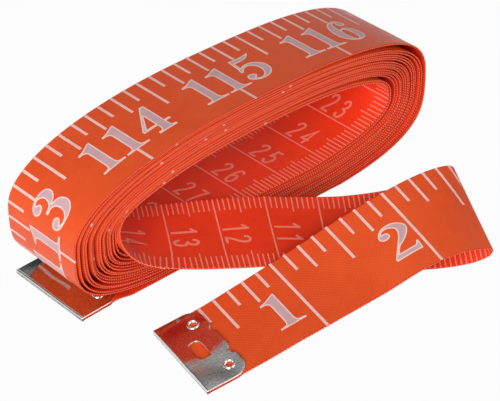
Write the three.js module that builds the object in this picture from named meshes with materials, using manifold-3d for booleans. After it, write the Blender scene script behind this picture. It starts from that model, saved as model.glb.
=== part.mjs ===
// Cloth tape measure: a flat orange ribbon wound into an oval coil, with a folded steel clip on each end.
// Millimetres, +Z up. X runs along the coil and Y across the tape, whose inch side faces outwards.
// The origin is the middle of the coil's flat underside, which lies on the table at Z = 0.
import * as THREE from "three";
import { mergeVertices } from "three/addons/utils/BufferGeometryUtils.js";
import Module from "manifold-3d";

const wasm = await Module();
wasm.setup();

// Tape
const tapeWidth = 20;
const tapeThickness = 0.3;
const stretchGap = 0.3; // between two stretches of the tape

// Coil: the open eye in its middle, and the layers of tape on each side of it
const coilTurns = 10;
const eyeLength = 69.6;
const eyeHeight = 15.2;
const stackUnderEye = 8.1;
const stackOverEye = 7.4;
const stackAtEnds = 11.2;
const undersideSink = 0.5; // how far the oval would reach below the table if the layers didn't lie flat

// Clips: a strip of sheet steel folded over the end of the tape
const clipDepth = 9.2;
const clipOverhang = 0.1; // on each side of the tape
const clipSheet = 0.3;
const clipGrip = 0.3; // from the sheet to the tape on each side
const clipCorner = 3.1; // radius of the two free corners
const clipLobeRise = 0.7; // from a notch to the crest of a lobe
const slotLength = 5;
const slotWidth = 2.5;
const slotInset = 4.2; // of its middle, from the end of the tape

// Eyelets: short tubes set through the clip's inch side and the tape, with a rolled rim
const eyeletSetback = 2.6; // of its middle, from the clip's free edge
const eyeletMargin = 3.4; // of its middle, from the tape's edge
const eyeletBore = 1.1;
const eyeletBarrel = 1.7;
const eyeletFlange = 2.8;
const eyeletRoll = 0.2; // thickness of the rim
const eyeletClearance = 0.2; // round the barrel and under the rim

// Tail: the outer end of the tape, from the coil's underside to the end clip
const tailRiseLength = 3.2; // where it rises to the middle of its clip
const tailLevelLength = 0.3; // from the rise to the clip

// Construction
const cutOverrun = 1; // how far a cutting shape runs past what it cuts
const weldDistance = 1e-4;
const stepsPerTurn = 48;
const stepsPerRow = 3;
const cornerSteps = 6;
const lobeCount = 3;
const lobeSteps = 5;
const lobeSharpness = 4; // power of the curve between a notch and a crest
const eyeletSides = 20;

// The winding
// Places along it are counted in winds: a whole number is at the left end of a loop, and the tape runs
// from there over the top to the right end, and back along the bottom.
const levelShares = { from: 0.6, to: 0.835 }; // of each wind, along the bottom, where every layer lies level
const startShare = 0.137; // of the first wind, where the free run joins on above the left end of the eye
const windEnd = coilTurns - 1 + levelShares.to;
// Roundness of each quarter of the oval, as the power of its curve: 2 is an ellipse, more is squarer.
const eyeRoundness = { topLeft: 2, topRight: 2.6, bottomRight: 2.4, bottomLeft: 4 };
const outerRoundness = { topLeft: 2.2, topRight: 3, bottomRight: 3.2, bottomLeft: 3.8 };

// The free run: the tape from the start clip, over the fold and back into the eye of the coil
// Each row is a straight line across the tape. First comes the place of its middle: along X as a share of
// the eye's length, along Y as a share of the tape's width, and its level. Level 0 is the middle of a clip
// that lies on the table, 1 the floor of the eye and 2 its roof. Then come three angles in degrees. The
// bearing is its turn from +Y towards +X, the tilt its rise towards the far edge, and the slant how far it
// leans from square across the tape.
const freeRunShares = [
  [-0.569, -1.575, 0, 12, 0, 0],
  [-0.431, -1.68, 0.256, 12, 0, 0],
  [-0.296, -1.78, 0.587, 12, 1, 0],
  [-0.162, -1.88, 0.925, 13, 4.2, 2.2],
  [-0.03, -1.985, 1.145, 18, 9.1, 7.8],
  [0.103, -2.076, 1.3, 25.1, 10.8, 14.5],
  [0.194, -2.127, 1.341, 28, 12.4, 17.3],
  [0.258, -2.168, 1.327, 28.6, 14.1, 18],
  [0.307, -2.193, 1.271, 28.2, 15.5, 17.3],
  [0.327, -2.218, 1.22, 25.2, 15.1, 14.9],
  [0.32, -2.179, 1.118, 21.7, 16.2, 15.1],
  [0.291, -2.081, 1.022, 20.3, 17.5, 15.3],
  [0.253, -1.946, 0.873, 20.6, 16.7, 15.3],
  [0.203, -1.784, 0.736, 21.1, 14, 15.5],
  [0.111, -1.508, 0.664, 20.9, 9.7, 15.7],
  [0.014, -1.245, 0.758, 20, 7, 16],
  [-0.088, -0.985, 0.879, 17, 7, 16],
  [-0.208, -0.735, 0.972, 16, 6, 16],
  [-0.329, -0.5, 1.04, 16, 3, 16],
  [-0.405, -0.33, 1.075, 16, 0, 16],
  [-0.44, -0.25, 1.125, 16, 0, 16],
  [-0.463, -0.18, 1.25, 16, 0, 16],
  [-0.472, -0.125, 1.43, 16, 0, 16],
  [-0.457, -0.095, 1.61, 14, 0, 14],
  [-0.426, -0.065, 1.74, 11, 0, 11],
  [-0.388, -0.035, 1.805, 7, 0, 7],
];
const foldTopRow = 7; // the lead ends here, on the top of the fold
const foldEndRow = 13; // the feed starts here, below the fold

// Sizes that follow
const eyeRoof = stackUnderEye + eyeHeight;
const coilHeight = eyeRoof + stackOverEye;
const coilLength = eyeLength + 2 * stackAtEnds;
const clipHeight = tapeThickness + 2 * (clipGrip + clipSheet);
const clipWidth = tapeWidth + 2 * clipOverhang;

const materials = {
  tape: new THREE.MeshStandardMaterial({ color: 0xe4562c, roughness: 0.5, metalness: 0 }),
  steel: new THREE.MeshStandardMaterial({ color: 0xc9c9c6, roughness: 0.2, metalness: 1 }),
};

const part = new THREE.Group();

const mix = THREE.MathUtils.lerp;
const radians = THREE.MathUtils.degToRad;

function addMesh(parent, name, geometry, material) {
  const mesh = new THREE.Mesh(geometry, material);
  mesh.name = name;
  parent.add(mesh);
  return mesh;
}

// A closed ribbon of the tape's thickness round rows of points, each row running across the tape.
// A row holds its near and far end and the direction that its inch side faces.
function ribbonGeometry(rows) {
  const positions = [];
  for (const { near, far, facing } of rows)
    for (const [end, side] of [[near, 1], [far, 1], [far, -1], [near, -1]]) {
      const corner = end.clone().addScaledVector(facing, (side * tapeThickness) / 2);
      positions.push(corner.x, corner.y, corner.z);
    }
  const index = [];
  const quad = (a, b, c, d) => index.push(c, b, a, d, c, a);
  for (let row = 0; row + 1 < rows.length; row++)
    for (let corner = 0; corner < 4; corner++) {
      const next = (corner + 1) % 4;
      quad(4 * row + corner, 4 * row + next, 4 * row + 4 + next, 4 * row + 4 + corner);
    }
  const last = 4 * (rows.length - 1);
  quad(3, 2, 1, 0);
  quad(last, last + 1, last + 2, last + 3);
  const geometry = new THREE.BufferGeometry();
  geometry.setAttribute("position", new THREE.Float32BufferAttribute(positions, 3));
  geometry.setIndex(index);
  return geometry;
}

// A row square across the coil, from its middle and the two points that it lies between.
function squareRow(middle, before, after) {
  const halfWidth = new THREE.Vector3(0, tapeWidth / 2, 0);
  const along = after.clone().sub(before).normalize();
  const facing = new THREE.Vector3(-along.z, 0, along.x);
  return { middle, near: middle.clone().sub(halfWidth), far: middle.clone().add(halfWidth), facing };
}

function squareRows(points) {
  const last = points.length - 1;
  return points.map((point, step) =>
    squareRow(point, points[Math.max(step - 1, 0)], points[Math.min(step + 1, last)]),
  );
}

// How far outwards a place on the winding lies, in winds. A loop moves outwards all the way round but for
// the level stretch along its bottom.
function windProgress(wind) {
  const turn = Math.floor(wind);
  const share = wind - turn;
  const levelSpan = levelShares.to - levelShares.from;
  const passed = THREE.MathUtils.clamp(share - levelShares.from, 0, levelSpan);
  return turn + (share - passed) / (1 - levelSpan);
}

// The same as a share: 0 against the eye, 1 on the outside.
function outwardShare(wind) {
  const start = windProgress(startShare);
  return (windProgress(wind) - start) / (windProgress(windEnd) - start);
}

// The tape's middle line in the plane of the coil: an oval whose half lengths, heights and roundness
// grow from the eye's to the outside's.
function windingPoint(wind) {
  const share = outwardShare(wind);
  const angle = 2 * Math.PI * (wind - Math.floor(wind));
  const sine = Math.sin(angle);
  const cosine = Math.cos(angle);
  const corner = (sine >= 0 ? "top" : "bottom") + (cosine >= 0 ? "Left" : "Right");
  const power = 2 / mix(eyeRoundness[corner], outerRoundness[corner], share);
  const halfLength = mix((eyeLength + tapeThickness) / 2, (coilLength - tapeThickness) / 2, share);
  const top = mix(eyeRoof + tapeThickness / 2, coilHeight - tapeThickness / 2, share);
  const bottom = mix(stackUnderEye - tapeThickness / 2, tapeThickness / 2, share);
  const middle = (top + bottom) / 2;
  const reach = sine >= 0 ? top - middle : middle - bottom + undersideSink;
  const x = -halfLength * Math.sign(cosine) * Math.abs(cosine) ** power;
  const z = middle + reach * Math.sign(sine) * Math.abs(sine) ** power;
  return new THREE.Vector3(x, 0, Math.max(z, bottom));
}

function windingRows() {
  const steps = Math.round((windEnd - startShare) * stepsPerTurn);
  const points = [];
  for (let step = 0; step <= steps; step++) points.push(windingPoint(mix(startShare, windEnd, step / steps)));
  return squareRows(points);
}

// The least gap between two neighbouring turns, measured from points on one to the lines of the other.
function leastSelfGap(rows) {
  const nearest = new THREE.Vector3();
  let least = Infinity;
  rows.forEach((row, step) => {
    for (let other = step + Math.round(stepsPerTurn / 2); other + 1 < rows.length; other++) {
      const line = new THREE.Line3(rows[other].middle, rows[other + 1].middle);
      line.closestPointToPoint(row.middle, true, nearest);
      least = Math.min(least, nearest.distanceTo(row.middle) - tapeThickness);
    }
  });
  return least;
}

// The free run, as rows at any place along its table. A place is a row's number, or lies between two. Its
// last row is the start of the winding.
const rowMiddles = freeRunShares.map(([x, y, level]) => {
  const underFloor = mix(clipHeight / 2, stackUnderEye, level);
  const overFloor = mix(stackUnderEye, eyeRoof, level - 1);
  return new THREE.Vector3(x * eyeLength, y * tapeWidth, level < 1 ? underFloor : overFloor);
});
rowMiddles.push(windingPoint(startShare));
const rowAngles = freeRunShares.map((row) => row.slice(3)).concat([[0, 0, 0]]);
const rowCurve = new THREE.CatmullRomCurve3(rowMiddles, false, "centripetal");
const lastRow = rowMiddles.length - 1;

function freeRunRow(place) {
  const row = Math.min(Math.floor(place), lastRow - 1);
  const [bearing, tilt, slant] = rowAngles[row].map((angle, kind) =>
    radians(mix(angle, rowAngles[row + 1][kind], place - row)),
  );
  const middle = rowCurve.getPoint(place / lastRow);
  const along = rowCurve.getTangent(place / lastRow);
  const across = new THREE.Vector3(
    Math.sin(bearing) * Math.cos(tilt),
    Math.cos(bearing) * Math.cos(tilt),
    Math.sin(tilt),
  );
  const halfWidth = across.clone().multiplyScalar(tapeWidth / 2 / Math.cos(slant));
  const facing = along.clone().cross(across).normalize();
  return { middle, across, near: middle.clone().sub(halfWidth), far: middle.clone().add(halfWidth), facing };
}

// The place that lies a given distance further along the free run, or back for a negative distance.
function placeAfter(place, distance) {
  const samples = 4 * lastRow * stepsPerRow;
  const towards = place + Math.sign(distance) / samples;
  const here = rowCurve.getPoint(place / lastRow);
  const reached = rowCurve.getPoint(towards / lastRow).distanceTo(here);
  return place + ((towards - place) * Math.abs(distance)) / reached;
}

function freeRunGeometry(from, to) {
  const places = [from];
  for (let step = Math.floor(from * stepsPerRow) + 1; step < to * stepsPerRow; step++)
    places.push(step / stepsPerRow);
  places.push(to);
  return ribbonGeometry(places.map(freeRunRow));
}

// A closed mesh as a solid for cutting, and back.
function solidOf(geometry) {
  const bare = geometry.clone();
  bare.deleteAttribute("normal");
  bare.deleteAttribute("uv");
  const merged = mergeVertices(bare, weldDistance);
  const triVerts = new Uint32Array(merged.index.array);
  const vertProperties = merged.attributes.position.array;
  return new wasm.Manifold(new wasm.Mesh({ numProp: 3, vertProperties, triVerts }));
}

function geometryOf(solid) {
  const mesh = solid.getMesh();
  const geometry = new THREE.BufferGeometry();
  geometry.setAttribute("position", new THREE.BufferAttribute(mesh.vertProperties, 3));
  geometry.setIndex(new THREE.BufferAttribute(mesh.triVerts, 1));
  return geometry;
}

// A clip in its own frame: X runs from the end of the tape inwards, Y across it and Z out of its inch side.
const foldedEdge = -(clipGrip + clipSheet);
const gripEdge = tapeThickness / 2 + clipGrip; // from the middle of the tape to the sheet

function clipPlanShape() {
  const half = clipWidth / 2;
  const lobeWidth = (clipWidth - 2 * clipCorner) / lobeCount;
  const shape = new THREE.Shape();
  shape.moveTo(foldedEdge, -half);
  shape.lineTo(clipDepth - clipCorner, -half);
  shape.absarc(clipDepth - clipCorner, -half + clipCorner, clipCorner, -Math.PI / 2, 0, false);
  for (let step = 1; step <= lobeCount * lobeSteps; step++) {
    const passed = step / lobeSteps;
    const firstHalf = passed < 0.5;
    const lastHalf = passed > lobeCount - 0.5;
    const fromCrest = firstHalf || lastHalf ? 0 : 2 * Math.abs(passed - Math.floor(passed) - 0.5);
    const inset = clipLobeRise * fromCrest ** lobeSharpness;
    shape.lineTo(clipDepth - inset, -half + clipCorner + passed * lobeWidth);
  }
  shape.absarc(clipDepth - clipCorner, half - clipCorner, clipCorner, 0, Math.PI / 2, false);
  shape.lineTo(foldedEdge, half);
  shape.closePath();
  return shape;
}

// Its section along the tape: two plates joined by a round fold.
function clipProfileShape() {
  const half = clipHeight / 2;
  const mouth = clipDepth + cutOverrun;
  const shape = new THREE.Shape();
  shape.moveTo(mouth, -half);
  shape.lineTo(mouth, -gripEdge);
  shape.lineTo(-clipGrip, -gripEdge);
  shape.lineTo(-clipGrip, gripEdge);
  shape.lineTo(mouth, gripEdge);
  shape.lineTo(mouth, half);
  shape.lineTo(foldedEdge + half, half);
  shape.absarc(foldedEdge + half, 0, half, Math.PI / 2, (3 * Math.PI) / 2, false);
  shape.closePath();
  return shape;
}

function slotShape() {
  const radius = slotWidth / 2;
  const straight = slotLength / 2 - radius;
  const shape = new THREE.Shape();
  shape.absarc(slotInset, straight, radius, 0, Math.PI, false);
  shape.absarc(slotInset, -straight, radius, Math.PI, 2 * Math.PI, false);
  shape.closePath();
  return shape;
}

function plate(shape, thickness) {
  return new THREE.ExtrudeGeometry(shape, { depth: thickness, bevelEnabled: false, curveSegments: cornerSteps });
}

const eyeletInset = clipDepth - eyeletSetback;
const eyeletPlaces = [-1, 1].map((side) => [eyeletInset, side * (tapeWidth / 2 - eyeletMargin)]);
const eyeletFoot = -(tapeThickness + clipGrip) / 2; // between the tape and the clip's cm side

// A straight pin through the clip's inch side and the tape at an eyelet's place, to cut its hole.
function eyeletHole([x, y]) {
  const radius = eyeletBarrel / 2 + eyeletClearance;
  const top = clipHeight / 2 + cutOverrun;
  const pin = new THREE.CylinderGeometry(radius, radius, top - eyeletFoot, eyeletSides);
  return solidOf(pin.rotateX(Math.PI / 2).translate(x, y, (top + eyeletFoot) / 2));
}

// The slot and the eyelets' holes are on the inch side only. The other side is plain.
function clipGeometry() {
  const planHeight = clipHeight + 2 * cutOverrun;
  const profileWidth = clipWidth + 2 * cutOverrun;
  const plan = plate(clipPlanShape(), planHeight).translate(0, 0, -planHeight / 2);
  const profile = plate(clipProfileShape(), profileWidth).translate(0, 0, -profileWidth / 2);
  const slot = plate(slotShape(), clipHeight / 2 + cutOverrun);
  let solid = solidOf(plan)
    .intersect(solidOf(profile.rotateX(Math.PI / 2)))
    .subtract(solidOf(slot));
  for (const place of eyeletPlaces) solid = solid.subtract(eyeletHole(place));
  return geometryOf(solid);
}

function eyeletGeometry() {
  const bore = eyeletBore / 2;
  const barrel = eyeletBarrel / 2;
  const flange = eyeletFlange / 2;
  const foot = -tapeThickness / 2;
  const rim = clipHeight / 2 + eyeletClearance;
  const profile = [
    [bore, foot],
    [barrel, foot],
    [barrel, rim],
    [flange, rim],
    [flange, rim + eyeletRoll],
    [bore, rim + eyeletRoll],
    [bore, foot],
  ].map(([x, y]) => new THREE.Vector2(x, y));
  return new THREE.LatheGeometry(profile, eyeletSides).rotateX(Math.PI / 2);
}

// The end of a stretch of tape with the holes that its eyelets pass through. The frame is its clip's.
function punched(geometry, frame) {
  let solid = solidOf(geometry);
  for (const place of eyeletPlaces) {
    const hole = geometryOf(eyeletHole(place)).applyMatrix4(frame);
    solid = solid.subtract(solidOf(hole));
  }
  return geometryOf(solid);
}

// A clip and its eyelets, whose names are given in the order of their places.
function clipGroup(frame, clipName, eyeletNames) {
  const group = new THREE.Group();
  group.applyMatrix4(frame);
  addMesh(group, clipName, clipGeometry(), materials.steel);
  eyeletPlaces.forEach(([x, y], side) => {
    addMesh(group, eyeletNames[side], eyeletGeometry(), materials.steel).position.set(x, y, 0);
  });
  return group;
}

// The tail runs from the end of the winding into its clip, which rests on the rims of its eyelets.
const windingFinish = windingPoint(windEnd);
const tailRiseEnd = windingFinish.x - tailRiseLength;
const tailTip = tailRiseEnd - tailLevelLength - clipDepth;
const tailFloor = clipHeight / 2 + eyeletClearance + eyeletRoll;

function tailRows() {
  return squareRows([
    new THREE.Vector3(windingFinish.x - stretchGap, 0, windingFinish.z),
    new THREE.Vector3(tailRiseEnd, 0, tailFloor),
    new THREE.Vector3(tailTip, 0, tailFloor),
  ]);
}

// The coil
const coilRows = windingRows();
console.log("least gap between turns of the coil, mm:", leastSelfGap(coilRows).toFixed(3));
addMesh(part, "tape_coil", ribbonGeometry(coilRows), materials.tape);

// The free run in three stretches, with the clip on its end
const leadEnd = freeRunRow(0);
const leadFrame = new THREE.Matrix4()
  .makeBasis(leadEnd.across.clone().cross(leadEnd.facing), leadEnd.across, leadEnd.facing)
  .setPosition(leadEnd.middle);
const foldStart = placeAfter(foldTopRow, stretchGap);
const feedStart = placeAfter(foldEndRow, stretchGap);
const feedEnd = placeAfter(lastRow, -stretchGap);
addMesh(part, "tape_lead", punched(freeRunGeometry(0, foldTopRow), leadFrame), materials.tape);
addMesh(part, "tape_fold", freeRunGeometry(foldStart, foldEndRow), materials.tape);
addMesh(part, "tape_feed", freeRunGeometry(feedStart, feedEnd), materials.tape);
part.add(clipGroup(leadFrame, "start_clip", ["start_near_eyelet", "start_far_eyelet"]));

// The tail with its clip, whose inch side faces the table
const tailFrame = new THREE.Matrix4().makeRotationX(Math.PI).setPosition(tailTip, 0, tailFloor);
addMesh(part, "tape_tail", punched(ribbonGeometry(tailRows()), tailFrame), materials.tape);
part.add(clipGroup(tailFrame, "end_clip", ["end_far_eyelet", "end_near_eyelet"]));

export default part;
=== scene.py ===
# %% [markdown]
# # A soft tape measure
#
# The object is one ribbon of coated woven cloth, 20 mm wide, a third of a millimetre thick and
# about 3 m long. It is wound into a flat oval coil. Its inner end leaves the coil, folds back
# over itself and lies in front, and both ends have a folded clip of bright steel.
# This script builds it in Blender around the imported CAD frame, in metres, with Z up.

import math

import bmesh
import bpy
import numpy as np
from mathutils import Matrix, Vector


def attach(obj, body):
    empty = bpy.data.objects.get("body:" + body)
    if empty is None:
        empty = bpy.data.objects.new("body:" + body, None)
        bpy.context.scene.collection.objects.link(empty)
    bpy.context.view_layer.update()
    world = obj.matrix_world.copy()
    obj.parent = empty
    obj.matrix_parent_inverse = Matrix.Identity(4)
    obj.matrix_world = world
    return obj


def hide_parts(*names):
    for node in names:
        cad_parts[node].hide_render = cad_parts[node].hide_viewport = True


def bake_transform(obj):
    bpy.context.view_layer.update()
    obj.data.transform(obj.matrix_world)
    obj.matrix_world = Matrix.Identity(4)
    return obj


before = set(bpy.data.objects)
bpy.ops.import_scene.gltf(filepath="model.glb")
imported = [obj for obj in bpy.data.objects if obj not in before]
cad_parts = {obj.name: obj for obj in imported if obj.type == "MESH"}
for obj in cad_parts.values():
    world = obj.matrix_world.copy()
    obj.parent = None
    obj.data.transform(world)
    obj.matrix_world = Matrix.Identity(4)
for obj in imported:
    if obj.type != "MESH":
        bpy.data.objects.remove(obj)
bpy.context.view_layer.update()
MM = 0.001

# %% [markdown]
# ## The camera
#
# The photograph looks down on the coil from its left front. A long lens far away keeps
# parallel edges nearly parallel, as they are in the photograph.

# %% Camera
CAMERA_AT = (-0.2066, -0.2325, 0.2174)
LOOKS_ALONG = Vector((0.5545, 0.6056, -0.5708))
FOCAL_PIXELS = 1894.6
IMAGE_WIDTH = 500


def in_scene(name, data):
    """New object of some data, put into the scene."""
    item = bpy.data.objects.new(name, data)
    bpy.context.scene.collection.objects.link(item)
    return item


def turned_along(direction):
    """Rotation of a camera or a lamp that looks in a direction."""
    return direction.to_track_quat("-Z", "Y").to_euler()


lens = bpy.data.cameras.new("photo_view")
lens.sensor_width = 36
lens.lens = FOCAL_PIXELS / IMAGE_WIDTH * lens.sensor_width
lens.clip_start, lens.clip_end = 0.01, 20
camera = in_scene("photo_view", lens)
camera.location = CAMERA_AT
camera.rotation_euler = turned_along(LOOKS_ALONG)
bpy.context.scene.camera = camera
print("lens, mm:", round(lens.lens, 1))

# %% [markdown]
# ## The ribbon as a formula
#
# Simulating 3 m of ribbon would be slow and would never give these turns. Instead the middle
# line of the ribbon is written down, and every point of the ribbon, its print and its clips
# is then found from three numbers: s, how far along the ribbon from its first tip, v, how far
# across it, and h, how far out of its inch side. All of them are in millimetres.
#
# The wound part is a spiral of superellipses. A superellipse is an ellipse whose cosine and
# sine are raised to a power, which makes it boxier or more pointed in each quarter.

# %% Sizes of the ribbon and of the coil
WIDTH, THICK = 20.0, 0.34
TURNS = 16
EYE_LENGTH, EYE_HEIGHT = 69.6, 15.2
UNDER_EYE, OVER_EYE, AT_ENDS = 8.1, 7.4, 11.2
BOTTOM_SINK = 0.5
LEVEL_FROM, LEVEL_TO = 0.6, 0.835
FIRST_PLACE = 0.137
LAST_PLACE = TURNS - 1 + 0.70
EYE_POWER = {"top_left": 2.0, "top_right": 2.6, "low_right": 2.2, "low_left": 4.0}
RIM_POWER = {"top_left": 2.2, "top_right": 2.6, "low_right": 3.2, "low_left": 3.8}
LAST_TURN_POWER = 3.0
TIGHT_GAP = 0.01
LOOSE_LEFT = (3.5, 1.7, 1.7, 0.2, 1.5, 0.3, 2.0, 0.3, 2.2, 0.3, 0.3, 3.2, 0.3, 3.0, 1.8, 2.4)
LOOSE_RIGHT = (0.3, 0.6, 5.0, 0.9, 1.2, 0.5, 1.5, 0.6, 1.0, 0.6, 2.2, 1.0, 0.8, 2.2, 1.2, 2.0)


def mix(a, b, t):
    """From a at t = 0 to b at t = 1."""
    return a + (b - a) * t


def turns_passed(place):
    """Whole turns plus the share of this turn, which stands still along the level bottom."""
    turn = np.floor(place)
    level = LEVEL_TO - LEVEL_FROM
    waited = np.clip(place - turn - LEVEL_FROM, 0, level)
    return turn + (place - turn - waited) / (1 - level)


def looseness(passed, steps, gaps, first):
    """Share of all the loose gaps that lie inside a place. The gaps are counted from the
    inside out, and each is spread evenly over one turn, the first of them from first on."""
    knots = first + np.arange(len(gaps) + 1)
    so_far = np.r_[0, np.cumsum(gaps)]
    start, here, end = (np.interp(at, knots, so_far) for at in (0, passed, steps))
    return (here - start) / (end - start)


def winding(place):
    """Middle of the ribbon where it is wound, at places in turns.

    The share outwards is the thickness of the turns inside plus the loose gaps between them,
    over the depth of the stack. Half length, top, bottom and power are mixed by that share,
    and the point is (-half * cos^power, middle + reach * sin^power).
    """
    start = turns_passed(np.array(FIRST_PLACE))
    passed = turns_passed(place) - start
    steps = turns_passed(np.array(TURNS - 1 + LEVEL_TO)) - start
    angle = 2 * np.pi * (place - np.floor(place))
    sine, cosine = np.sin(angle), np.cos(angle)
    stack = np.where(sine >= 0, OVER_EYE, UNDER_EYE)
    depth = AT_ENDS * cosine**2 + stack * sine**2 - THICK
    at_left = looseness(passed, steps, LOOSE_LEFT, -start)
    at_right = looseness(passed, steps, LOOSE_RIGHT, turns_passed(np.array(0.5)) - 1 - start)
    loose = mix(at_right, at_left, (1 + cosine) / 2)
    tight = THICK + TIGHT_GAP
    share = (passed * tight + loose * (depth - steps * tight)) / depth
    power = np.empty_like(share)
    for quarter, part in {
        "top_left": (sine >= 0) & (cosine >= 0),
        "top_right": (sine >= 0) & (cosine < 0),
        "low_right": (sine < 0) & (cosine < 0),
        "low_left": (sine < 0) & (cosine >= 0),
    }.items():
        power[part] = mix(EYE_POWER[quarter], RIM_POWER[quarter], share)[part]
    last = (place >= TURNS - 1) & (sine >= 0) & (cosine < 0)
    power[last] = LAST_TURN_POWER
    half = mix((EYE_LENGTH + THICK) / 2, EYE_LENGTH / 2 + AT_ENDS - THICK / 2, share)
    roof = UNDER_EYE + EYE_HEIGHT
    top = mix(roof + THICK / 2, roof + OVER_EYE - THICK / 2, share)
    bottom = mix(UNDER_EYE - THICK / 2, THICK / 2, share)
    middle = (top + bottom) / 2
    reach = np.where(sine >= 0, top - middle, middle - bottom + BOTTOM_SINK)
    x = -half * np.sign(cosine) * np.abs(cosine) ** (2 / power)
    z = middle + reach * np.sign(sine) * np.abs(sine) ** (2 / power)
    return np.stack([x, 0 * x, np.maximum(z, bottom)], axis=1)


WOUND_POINTS = 9000
wound = winding(np.linspace(FIRST_PLACE, LAST_PLACE, WOUND_POINTS))
print("wound length, mm:", round(float(np.linalg.norm(np.diff(wound, axis=0), axis=1).sum())))

# %% [markdown]
# ## The free end
#
# In front of the coil the ribbon twists, curls and folds. Cloth bends in straight lines, so
# that stretch is a ruled surface. Each row below is one straight ruling across the ribbon:
# where its middle is, as a share of the eye's length, of the ribbon's width and of the
# height, and in degrees how it bears, tilts and slants. The first row is the tip in the clip.

# %% The rulings of the free end, and the whole middle line
RULINGS = np.array([
    (-0.569, -1.575, 0.000, 12, -1.2, 0),
    (-0.431, -1.680, 0.256, 12, -0.8, 0),
    (-0.296, -1.780, 0.587, 12, 1, 0),
    (-0.162, -1.880, 0.925, 13, 4.2, 2.2),
    (-0.030, -1.985, 1.145, 18, 9.1, 7.8),
    (0.103, -2.076, 1.300, 25.1, 10.8, 14.5),
    (0.194, -2.127, 1.341, 28, 12.4, 17.3),
    (0.258, -2.168, 1.327, 28.6, 14.1, 18),
    (0.307, -2.193, 1.271, 28.2, 15.5, 17.3),
    (0.327, -2.218, 1.220, 25.2, 15.1, 14.9),
    (0.320, -2.179, 1.118, 21.7, 16.2, 15.1),
    (0.291, -2.081, 1.022, 20.3, 17.5, 15.3),
    (0.253, -1.946, 0.873, 20.6, 16.7, 15.3),
    (0.203, -1.784, 0.736, 21.1, 14, 15.5),
    (0.111, -1.508, 0.664, 20.9, 9.7, 15.7),
    (0.014, -1.245, 0.758, 20, 7, 16),
    (-0.088, -0.985, 0.879, 17, 7, 16),
    (-0.208, -0.735, 0.972, 16, 6, 16),
    (-0.329, -0.500, 1.040, 16, 3, 16),
    (-0.406, -0.300, 1.075, 15, 0, 22.7),
    (-0.4545, -0.165, 1.140, 10.5, 0, 23.8),
    (-0.494, -0.072, 1.285, 4.5, 0, 21.2),
    (-0.509, -0.022, 1.460, 0.5, 0, 13.7),
    (-0.494, -0.006, 1.617, 0, 0, 4.7),
    (-0.459, 0.000, 1.718, 0, 0, 1.1),
    (-0.405, 0.000, 1.807, 0, 0, 0),
])
FOLD_TOP_ROW = 7
TIP_HEIGHT = 0.75
PER_SPAN = 24
TAIL_HINGE, TAIL_BEND, TAIL_LEVEL, TAIL_TIP = -31.0, -32.0, -36.5, -44.9
TAIL_LOW, TAIL_HIGH, TAIL_DROP = 0.2, 0.9, 0.35
TAIL_STEP = 0.25


def smooth_path(points):
    """Centripetal Catmull-Rom curve: each span is a cubic through its four nearest points,
    whose knots are as far apart as the square root of the distance between the points."""
    ends = np.vstack([2 * points[0] - points[1], points, 2 * points[-1] - points[-2]])
    t = np.arange(PER_SPAN) / PER_SPAN
    path = []
    for a, b, c, d in zip(ends, ends[1:], ends[2:], ends[3:]):
        k = np.cumsum([0, *(np.linalg.norm(q - p) ** 0.5 for p, q in ((a, b), (b, c), (c, d)))])
        u = mix(k[1], k[2], t)[:, None]
        ab = (k[1] - u) / (k[1] - k[0]) * a + (u - k[0]) / (k[1] - k[0]) * b
        bc = (k[2] - u) / (k[2] - k[1]) * b + (u - k[1]) / (k[2] - k[1]) * c
        cd = (k[3] - u) / (k[3] - k[2]) * c + (u - k[2]) / (k[3] - k[2]) * d
        abc = (k[2] - u) / (k[2] - k[0]) * ab + (u - k[0]) / (k[2] - k[0]) * bc
        bcd = (k[3] - u) / (k[3] - k[1]) * bc + (u - k[1]) / (k[3] - k[1]) * cd
        path.append((k[2] - u) / (k[2] - k[1]) * abc + (u - k[1]) / (k[2] - k[1]) * bcd)
    return np.vstack([*path, points[-1:]])


level = RULINGS[:, 2]
low = TIP_HEIGHT + level * (UNDER_EYE - TIP_HEIGHT)
high = UNDER_EYE + (level - 1) * EYE_HEIGHT
middles = np.stack([
    RULINGS[:, 0] * EYE_LENGTH, RULINGS[:, 1] * WIDTH, np.where(level < 1, low, high)
], axis=1)
free = smooth_path(np.vstack([middles, wound[:1]]))
free_rows = np.arange(len(free)) / PER_SPAN
angles = np.radians(np.vstack([RULINGS[:, 3:], [0, 0, 0]]))
free_angles = np.stack([
    np.interp(free_rows, np.arange(len(angles)), angles[:, k]) for k in range(3)
], axis=1)

tail_x = np.arange(wound[-1, 0] - 2 * TAIL_STEP, TAIL_TIP, -TAIL_STEP)
tail_share = np.clip((TAIL_BEND - tail_x) / (TAIL_BEND - TAIL_LEVEL), 0, 1)
tail_z = mix(TAIL_LOW, TAIL_HIGH, tail_share**2 * (3 - 2 * tail_share))
tail_z -= TAIL_DROP * np.clip((TAIL_LEVEL - tail_x) / (TAIL_LEVEL - TAIL_TIP), 0, 1)
tail = np.stack([tail_x, 0 * tail_x, tail_z], axis=1)

line = np.vstack([free, wound[1:], tail])
line_angles = np.vstack([free_angles, np.zeros((len(line) - len(free), 3))])
line_s = np.r_[0, np.cumsum(np.linalg.norm(np.diff(line, axis=0), axis=1))]
bearing, tilt, slant = line_angles.T
across = np.stack([
    np.sin(bearing) * np.cos(tilt), np.cos(bearing) * np.cos(tilt), np.sin(tilt)
], axis=1)
half_ruling = across / np.cos(slant)[:, None]
inch_side = np.cross(np.gradient(line, line_s, axis=0), across)
inch_side /= np.linalg.norm(inch_side, axis=1)[:, None]

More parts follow.
